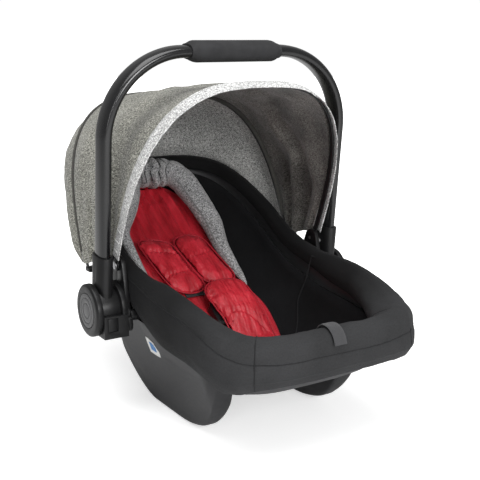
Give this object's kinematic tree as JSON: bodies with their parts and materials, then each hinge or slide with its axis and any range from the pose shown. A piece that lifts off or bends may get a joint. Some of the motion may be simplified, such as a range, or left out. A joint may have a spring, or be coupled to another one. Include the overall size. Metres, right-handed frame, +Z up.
{
  "type": "infant car seat",
  "caption": "Rear-facing infant carrier seat with rocker base, swinging carry handle, folding melange canopy, harness and red padded newborn insert.",
  "frame": {"origin": "on the ground under the middle of the seat's overall box", "axes": "+Z up, +Y towards the head end, -Y towards the feet, +X to the seat's side that has the sitter's left hand"},
  "size_m": [0.465, 0.6236, 0.5638],
  "materials": {
    "shell_plastic": "fine matte grain",
    "black_plastic": "satin",
    "black_tube": "satin black powder coat on oval tube",
    "grip_foam": "matte foam sleeve",
    "black_fabric": "matte knit",
    "charcoal_fabric": "fine dark weave",
    "red_fabric": "satin weave, padded",
    "melange": "two-tone greenish grey melange weave",
    "light_melange": "two-tone light grey melange knit",
    "webbing": "ribbed polyester webbing",
    "steel": "zinc plated",
    "foam": "white expanded foam",
    "red_plastic": "gloss",
    "button_grey": "satin, shallow concentric rings",
    "label": "blank sticker with a plain blue shape"
  },
  "bodies": {
    "seat": {"seat_shell": "shell_plastic", "rocker_left": "shell_plastic", "rocker_right": "shell_plastic", "rocker_screws": "steel", "foam_liner": "foam", "seat_cover": "black_fabric", "rim_cover": "charcoal_fabric", "newborn_insert": "red_fabric", "head_hugger": "light_melange", "shoulder_pad_left": "red_fabric", "shoulder_pad_right": "red_fabric", "crotch_pad": "red_fabric", "shoulder_strap_left": "webbing", "shoulder_strap_right": "webbing", "crotch_strap": "webbing", "buckle_body": "black_plastic", "buckle_tongues": "steel", "splitter_plate": "steel", "adjuster_housing": "black_plastic", "adjuster_strap": "webbing", "side_bracket_left": "black_plastic", "side_bracket_right": "black_plastic", "bracket_screws": "steel", "hub_base_left": "black_plastic", "hub_base_right": "black_plastic", "hub_pin_left": "steel", "hub_pin_right": "steel", "canopy_top_panel": "melange", "canopy_back_panel": "melange", "canopy_rear_bow": "black_plastic", "canopy_pivot_pins": "steel", "rear_bow_clips": "black_plastic", "rear_belt_hook": "black_plastic", "side_label": "label"},
    "handle": {"handle_tube": "black_tube", "grip": "grip_foam", "socket_left": "black_plastic", "socket_right": "black_plastic", "hub_cap_left": "black_plastic", "hub_cap_right": "black_plastic", "handle_screws": "steel", "button_spring_left": "steel", "button_spring_right": "steel"},
    "release_left": {"release_button_left": "button_grey", "lock_gear_left": "steel"},
    "release_right": {"release_button_right": "button_grey", "lock_gear_right": "steel"},
    "adapter_left": {"adapter_button_left": "black_plastic"},
    "adapter_right": {"adapter_button_right": "black_plastic"},
    "canopy_front": {"canopy_front_bow": "black_plastic", "canopy_front_hem": "light_melange"},
    "buckle_press_button": {"buckle_button": "red_plastic"},
    "adjuster_cam_lever": {"adjuster_lever": "steel"}
  },
  "joints": [
    {"name": "handle_pivot", "type": "hinge", "parent": "seat", "child": "handle", "pos_m": [0, 0.01, 0.171], "axis": [1, 0, 0], "range_deg": [-108, 44]},
    {"name": "canopy_fold", "type": "hinge", "parent": "seat", "child": "canopy_front", "pos_m": [0, 0.007, 0.235], "axis": [1, 0, 0], "range_deg": [-52, 0], "deforming": ["canopy_top_panel"]},
    {"name": "release_left", "type": "slide", "parent": "handle", "child": "release_left", "axis": [1, 0, 0], "range_m": [0, 0.004], "stiffness_N_per_m": 1200, "deforming": ["button_spring_left"]},
    {"name": "release_right", "type": "slide", "parent": "handle", "child": "release_right", "axis": [-1, 0, 0], "range_m": [0, 0.004], "stiffness_N_per_m": 1200, "deforming": ["button_spring_right"]},
    {"name": "adapter_left", "type": "slide", "parent": "seat", "child": "adapter_left", "axis": [0, 1, 0], "range_m": [0, 0.0024], "stiffness_N_per_m": 800},
    {"name": "adapter_right", "type": "slide", "parent": "seat", "child": "adapter_right", "axis": [0, 1, 0], "range_m": [0, 0.0024], "stiffness_N_per_m": 800},
    {"name": "buckle_press", "type": "slide", "parent": "seat", "child": "buckle_press_button", "axis": [0, 0.5736, -0.8192], "range_m": [0, 0.002], "stiffness_N_per_m": 1500},
    {"name": "adjuster_cam", "type": "hinge", "parent": "seat", "child": "adjuster_cam_lever", "pos_m": [0, -0.20104, 0.09962], "axis": [1, 0, 0], "range_deg": [0, 12], "stiffness_Nm_per_rad": 0.5}
  ]
}
